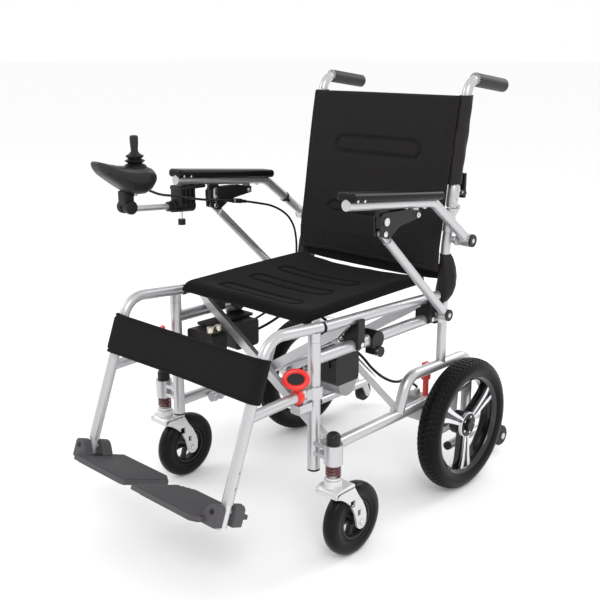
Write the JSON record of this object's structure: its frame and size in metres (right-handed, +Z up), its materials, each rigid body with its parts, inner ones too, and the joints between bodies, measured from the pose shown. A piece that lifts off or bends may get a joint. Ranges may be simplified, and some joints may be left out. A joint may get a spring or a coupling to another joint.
{
  "type": "power wheelchair",
  "caption": "Folding powered wheelchair with sprung casters, hub-side gear motors, flip-up armrests, swing-away leg rests and a joystick control.",
  "frame": {"origin": "on the floor under the middle of the bounding box", "axes": "-Y is the way the user faces, +X is the user's left, +Z is up"},
  "size_m": [0.578, 1.0079, 0.9377],
  "materials": {
    "black_plastic": "matte",
    "bright_steel": "polished",
    "cable_rubber": "smooth",
    "caster_rubber": "smooth",
    "control_plastic": "fine matte",
    "frame_paint": "satin silver paint",
    "mesh_fabric": "spacer mesh",
    "motor_paint": "satin",
    "pad_rubber": "moulded",
    "plate_plastic": "ribbed matte",
    "red_plastic": "glossy",
    "rim_paint": "gloss black with machined faces",
    "spring_paint": "gloss dark red",
    "steel": "zinc plated",
    "tyre_rubber": "treaded"
  },
  "bodies": {
    "left_frame": {"left_side_frame": "frame_paint", "left_frame_fittings": "black_plastic", "left_drive_motor": "motor_paint", "left_battery_pack": "black_plastic", "left_caster_spring": "spring_paint", "back_upholstery_lower": "mesh_fabric"},
    "brace_a": {"brace_a": "frame_paint", "motor_cable": "cable_rubber"},
    "brace_b": {"brace_b": "frame_paint"},
    "right_frame": {"right_side_frame": "frame_paint", "right_frame_fittings": "black_plastic", "right_drive_motor": "motor_paint", "right_battery_pack": "black_plastic", "right_caster_spring": "spring_paint"},
    "seat": {"seat_upholstery": "mesh_fabric"},
    "left_suspension": {"left_caster_stem": "steel"},
    "left_fork": {"left_caster_fork": "frame_paint"},
    "left_caster": {"left_caster_wheel": "caster_rubber"},
    "left_wheel": {"left_drive_tyre": "tyre_rubber", "left_drive_rim": "rim_paint"},
    "left_freewheel": {"left_freewheel_lever": "red_plastic"},
    "left_tipper": {"left_anti_tip_wheel": "pad_rubber"},
    "left_back": {"left_upper_cane": "frame_paint", "back_upholstery_upper": "mesh_fabric"},
    "left_release": {"left_back_lever": "black_plastic"},
    "left_arm": {"left_armrest": "frame_paint", "left_armrest_pad": "pad_rubber"},
    "left_strut": {"left_armrest_strut": "frame_paint"},
    "left_bracket": {"left_latch_bracket": "black_plastic"},
    "left_button": {"left_latch_button": "bright_steel"},
    "left_leg": {"left_hanger": "frame_paint", "calf_strap": "mesh_fabric"},
    "left_ring": {"left_hanger_lever": "red_plastic"},
    "left_leg_slide": {"left_leg_tube": "steel"},
    "left_plate": {"left_footplate": "plate_plastic"},
    "right_suspension": {"right_caster_stem": "steel"},
    "right_fork": {"right_caster_fork": "frame_paint"},
    "right_caster": {"right_caster_wheel": "caster_rubber"},
    "right_wheel": {"right_drive_tyre": "tyre_rubber", "right_drive_rim": "rim_paint"},
    "right_freewheel": {"right_freewheel_lever": "red_plastic"},
    "right_tipper": {"right_anti_tip_wheel": "pad_rubber"},
    "right_back": {"right_upper_cane": "frame_paint"},
    "right_release": {"right_back_lever": "black_plastic"},
    "right_arm": {"right_armrest": "frame_paint", "right_armrest_pad": "pad_rubber", "controller_clamp": "black_plastic", "controller_cable": "cable_rubber"},
    "right_strut": {"right_armrest_strut": "frame_paint"},
    "right_bracket": {"right_latch_bracket": "black_plastic"},
    "right_button": {"right_latch_button": "bright_steel"},
    "right_leg": {"right_hanger": "frame_paint"},
    "right_ring": {"right_hanger_lever": "red_plastic"},
    "right_leg_slide": {"right_leg_tube": "steel"},
    "right_plate": {"right_footplate": "plate_plastic"},
    "control": {"controller_arm": "bright_steel", "controller_housing": "control_plastic"},
    "gimbal": {"joystick_gimbal": "steel"},
    "stick": {"joystick_lever": "pad_rubber"},
    "clamp_knob": {"clamp_knob": "black_plastic"}
  },
  "joints": [
    {"name": "fold", "type": "hinge", "parent": "left_frame", "child": "brace_a", "pos_m": [0.18, -0.01, 0.212], "axis": [0, 1, 0], "range_deg": [0, 30], "deforming": ["seat_upholstery", "back_upholstery_lower", "back_upholstery_upper", "calf_strap", "motor_cable"]},
    {"name": "brace_cross", "type": "hinge", "parent": "brace_a", "child": "brace_b", "pos_m": [0, 0, 0.326], "axis": [0, 1, 0], "range_deg": [-60, 0]},
    {"name": "right_frame_hinge", "type": "hinge", "parent": "brace_b", "child": "right_frame", "pos_m": [-0.18, 0.008, 0.212], "axis": [0, 1, 0], "range_deg": [0, 30]},
    {"name": "seat_sling", "type": "hinge", "parent": "brace_b", "child": "seat", "pos_m": [0.206, 0.011, 0.468], "axis": [0, 1, 0], "range_deg": [0, 30]},
    {"name": "left_suspension_travel", "type": "slide", "parent": "left_frame", "child": "left_suspension", "axis": [0, 0, 1], "range_m": [0, 0.008], "stiffness_N_per_m": 9000, "springref_m": -0.03, "deforming": ["left_caster_spring"]},
    {"name": "left_caster_swivel", "type": "hinge", "parent": "left_suspension", "child": "left_fork", "pos_m": [0.258, -0.204, 0.175], "axis": [0, 0, 1], "continuous": true},
    {"name": "left_caster_spin", "type": "hinge", "parent": "left_fork", "child": "left_caster", "pos_m": [0.258, -0.147, 0.077], "axis": [1, 0, 0], "continuous": true},
    {"name": "left_wheel_spin", "type": "hinge", "parent": "left_frame", "child": "left_wheel", "pos_m": [0.2526, 0.256, 0.154], "axis": [1, 0, 0], "continuous": true},
    {"name": "left_freewheel_turn", "type": "hinge", "parent": "left_frame", "child": "left_freewheel", "pos_m": [0.172, 0.22, 0.19], "axis": [-1, 0, 0], "range_deg": [0, 45]},
    {"name": "left_anti_tip_spin", "type": "hinge", "parent": "left_frame", "child": "left_tipper", "pos_m": [0.222, 0.478, 0.043], "axis": [1, 0, 0], "continuous": true},
    {"name": "left_back_fold", "type": "hinge", "parent": "left_frame", "child": "left_back", "pos_m": [0.206, 0.259, 0.652], "axis": [-1, 0, 0], "range_deg": [0, 100]},
    {"name": "left_back_release", "type": "hinge", "parent": "left_back", "child": "left_release", "pos_m": [0.206, 0.269, 0.684], "axis": [-1, 0, 0], "range_deg": [0, 25], "stiffness_Nm_per_rad": 0.3, "springref_deg": -17.19},
    {"name": "left_arm_flip", "type": "hinge", "parent": "left_frame", "child": "left_arm", "pos_m": [0.244, 0.252, 0.584], "axis": [-1, 0, 0], "range_deg": [0, 90]},
    {"name": "left_strut_turn", "type": "hinge", "parent": "left_frame", "child": "left_strut", "pos_m": [0.244, 0.179, 0.43], "axis": [-1, 0, 0], "range_deg": [0, 58.04]},
    {"name": "left_bracket_turn", "type": "hinge", "parent": "left_arm", "child": "left_bracket", "pos_m": [0.244, 0.052, 0.667], "axis": [-1, 0, 0], "range_deg": [-101.5, 0]},
    {"name": "left_button_press", "type": "slide", "parent": "left_bracket", "child": "left_button", "axis": [-1, 0, 0], "range_m": [0, 0.0025], "stiffness_N_per_m": 600, "springref_m": -0.004},
    {"name": "left_leg_swing", "type": "hinge", "parent": "left_frame", "child": "left_leg", "pos_m": [0.206, -0.203, 0.44], "axis": [0, 0, 1], "range_deg": [0, 90], "deforming": ["calf_strap"]},
    {"name": "left_ring_turn", "type": "hinge", "parent": "left_leg", "child": "left_ring", "pos_m": [0.206, -0.25, 0.3522], "axis": [0, 1, 0], "range_deg": [0, 30], "stiffness_Nm_per_rad": 0.4, "springref_deg": -17.19},
    {"name": "left_leg_length", "type": "slide", "parent": "left_leg", "child": "left_leg_slide", "axis": [0, -0.3494, -0.937], "range_m": [-0.01, 0.06]},
    {"name": "left_plate_flip", "type": "hinge", "parent": "left_leg_slide", "child": "left_plate", "pos_m": [0.206, -0.43888, 0.18683], "axis": [0, 0.937, -0.3494], "range_deg": [0, 90]},
    {"name": "right_suspension_travel", "type": "slide", "parent": "right_frame", "child": "right_suspension", "axis": [0, 0, 1], "range_m": [0, 0.008], "stiffness_N_per_m": 9000, "springref_m": -0.03, "deforming": ["right_caster_spring"]},
    {"name": "right_caster_swivel", "type": "hinge", "parent": "right_suspension", "child": "right_fork", "pos_m": [-0.258, -0.204, 0.175], "axis": [0, 0, 1], "continuous": true},
    {"name": "right_caster_spin", "type": "hinge", "parent": "right_fork", "child": "right_caster", "pos_m": [-0.258, -0.147, 0.077], "axis": [1, 0, 0], "continuous": true},
    {"name": "right_wheel_spin", "type": "hinge", "parent": "right_frame", "child": "right_wheel", "pos_m": [-0.2526, 0.256, 0.154], "axis": [1, 0, 0], "continuous": true},
    {"name": "right_freewheel_turn", "type": "hinge", "parent": "right_frame", "child": "right_freewheel", "pos_m": [-0.172, 0.22, 0.19], "axis": [-1, 0, 0], "range_deg": [0, 45]},
    {"name": "right_anti_tip_spin", "type": "hinge", "parent": "right_frame", "child": "right_tipper", "pos_m": [-0.222, 0.478, 0.043], "axis": [1, 0, 0], "continuous": true},
    {"name": "right_back_fold", "type": "hinge", "parent": "right_frame", "child": "right_back", "pos_m": [-0.206, 0.259, 0.652], "axis": [-1, 0, 0], "range_deg": [0, 100]},
    {"name": "right_back_release", "type": "hinge", "parent": "right_back", "child": "right_release", "pos_m": [-0.206, 0.269, 0.684], "axis": [-1, 0, 0], "range_deg": [0, 25], "stiffness_Nm_per_rad": 0.3, "springref_deg": -17.19},
    {"name": "right_arm_flip", "type": "hinge", "parent": "right_frame", "child": "right_arm", "pos_m": [-0.244, 0.252, 0.584], "axis": [-1, 0, 0], "range_deg": [0, 90], "deforming": ["controller_cable"]},
    {"name": "right_strut_turn", "type": "hinge", "parent": "right_frame", "child": "right_strut", "pos_m": [-0.244, 0.179, 0.43], "axis": [-1, 0, 0], "range_deg": [0, 58.04]},
    {"name": "right_bracket_turn", "type": "hinge", "parent": "right_arm", "child": "right_bracket", "pos_m": [-0.244, 0.052, 0.667], "axis": [-1, 0, 0], "range_deg": [-101.5, 0]},
    {"name": "right_button_press", "type": "slide", "parent": "right_bracket", "child": "right_button", "axis": [1, 0, 0], "range_m": [0, 0.0025], "stiffness_N_per_m": 600, "springref_m": -0.004},
    {"name": "right_leg_swing", "type": "hinge", "parent": "right_frame", "child": "right_leg", "pos_m": [-0.206, -0.203, 0.44], "axis": [0, 0, -1], "range_deg": [0, 90], "deforming": ["calf_strap"]},
    {"name": "right_ring_turn", "type": "hinge", "parent": "right_leg", "child": "right_ring", "pos_m": [-0.206, -0.25, 0.3522], "axis": [0, 1, 0], "range_deg": [0, 30], "stiffness_Nm_per_rad": 0.4, "springref_deg": -17.19},
    {"name": "right_leg_length", "type": "slide", "parent": "right_leg", "child": "right_leg_slide", "axis": [0, -0.3494, -0.937], "range_m": [-0.01, 0.06]},
    {"name": "right_plate_flip", "type": "hinge", "parent": "right_leg_slide", "child": "right_plate", "pos_m": [-0.206, -0.43888, 0.18683], "axis": [0, -0.937, 0.3494], "range_deg": [0, 90]},
    {"name": "control_reach", "type": "slide", "parent": "right_arm", "child": "control", "axis": [0, -0.9972, 0.0743], "range_m": [-0.015, 0.04], "deforming": ["controller_cable"]},
    {"name": "stick_forward", "type": "hinge", "parent": "control", "child": "gimbal", "pos_m": [-0.248, -0.263, 0.725], "axis": [1, 0, 0], "range_deg": [-10, 10], "stiffness_Nm_per_rad": 0.4},
    {"name": "stick_side", "type": "hinge", "parent": "gimbal", "child": "stick", "pos_m": [-0.248, -0.263, 0.725], "axis": [0, 1, 0], "range_deg": [-10, 10], "stiffness_Nm_per_rad": 0.4},
    {"name": "clamp_turn", "type": "hinge", "parent": "right_arm", "child": "clamp_knob", "pos_m": [-0.261, -0.132, 0.632], "axis": [0, 0, 1], "range_deg": [0, 360]}
  ],
  "couplings": [
    {"joint": "brace_cross", "follows": "fold", "ratio": -2},
    {"joint": "right_frame_hinge", "follows": "fold", "ratio": 1},
    {"joint": "seat_sling", "follows": "fold", "ratio": 1},
    {"joint": "left_strut_turn", "follows": "left_arm_flip", "ratio": 0.6448},
    {"joint": "left_bracket_turn", "follows": "left_arm_flip", "ratio": -1.1275},
    {"joint": "left_plate_flip", "follows": "fold", "ratio": 3},
    {"joint": "right_strut_turn", "follows": "right_arm_flip", "ratio": 0.6448},
    {"joint": "right_bracket_turn", "follows": "right_arm_flip", "ratio": -1.1275},
    {"joint": "right_plate_flip", "follows": "fold", "ratio": 3},
    {"joint": "right_back_fold", "follows": "left_back_fold", "ratio": 1}
  ]
}
